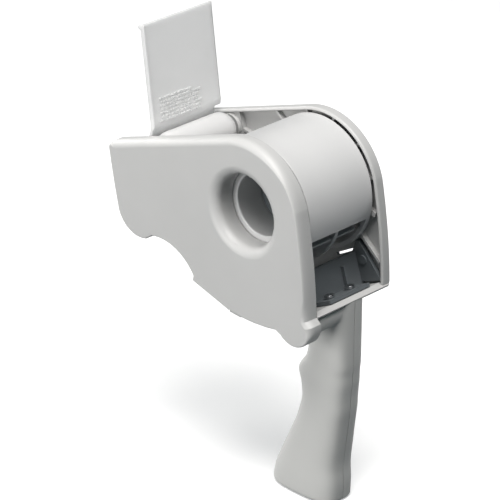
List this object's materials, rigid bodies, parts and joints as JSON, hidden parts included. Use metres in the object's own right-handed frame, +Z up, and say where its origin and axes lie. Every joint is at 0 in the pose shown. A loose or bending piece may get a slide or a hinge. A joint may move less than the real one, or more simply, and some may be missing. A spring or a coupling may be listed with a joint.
{
  "type": "tape gun dispenser",
  "caption": "Pistol-grip packing tape dispenser with closed side plates, a spinning core drum, an applicator roller, a tall wiper flap and a toothed cutter at the nose.",
  "frame": {"origin": "centre of the bounding box in plan, at the height of the handle's flat butt", "axes": "+Z up along the upper grip, -X towards the nose, +Y from the cover plate towards the frame plate, along the drum's axis"},
  "size_m": [0.1534, 0.0676, 0.2551],
  "materials": {
    "shell_plastic": "fine satin moulding",
    "handle_plastic": "fine satin moulding",
    "drum_plastic": "smooth satin",
    "roller_plastic": "smooth semi-gloss",
    "flap_plastic": "satin sheet",
    "inner_plastic": "satin moulding",
    "washer_rubber": "matt",
    "steel": "plain ground"
  },
  "bodies": {
    "frame": {"left_side_cover": "shell_plastic", "right_side_frame": "shell_plastic", "inner_bracket": "inner_plastic", "handle_left_half": "handle_plastic", "handle_right_half": "handle_plastic", "hub_spindle": "inner_plastic", "hub_drag_washer": "washer_rubber", "spindle_screw": "steel", "spindle_nut": "steel", "roller_axle": "steel", "flap_hinge_pin": "steel", "flap_spring": "steel", "blade_holder": "inner_plastic", "cutter_blade": "steel", "blade_clamp": "steel", "blade_screw_left": "steel", "blade_screw_right": "steel", "nose_screw": "steel", "bracket_screw_left": "steel", "bracket_screw_right": "steel", "handle_screw_upper": "steel", "handle_screw_middle": "steel", "handle_screw_lower": "steel"},
    "tape_hub": {"tape_hub_drum": "drum_plastic", "hub_sleeve": "drum_plastic"},
    "applicator": {"applicator_roller": "roller_plastic", "roller_core": "inner_plastic"},
    "wiper": {"wiper_flap": "flap_plastic"}
  },
  "joints": [
    {"name": "hub_spin", "type": "hinge", "parent": "frame", "child": "tape_hub", "pos_m": [0.02664, 0, 0.1752], "axis": [0, 1, 0], "continuous": true},
    {"name": "roller_spin", "type": "hinge", "parent": "frame", "child": "applicator", "pos_m": [-0.04212, 0, 0.18619], "axis": [0, 1, 0], "continuous": true},
    {"name": "flap_swing", "type": "hinge", "parent": "frame", "child": "wiper", "pos_m": [-0.05624, 0, 0.1714], "axis": [0, -1, 0], "range_deg": [0, 45], "stiffness_Nm_per_rad": 0.03, "springref_deg": -17.19}
  ]
}
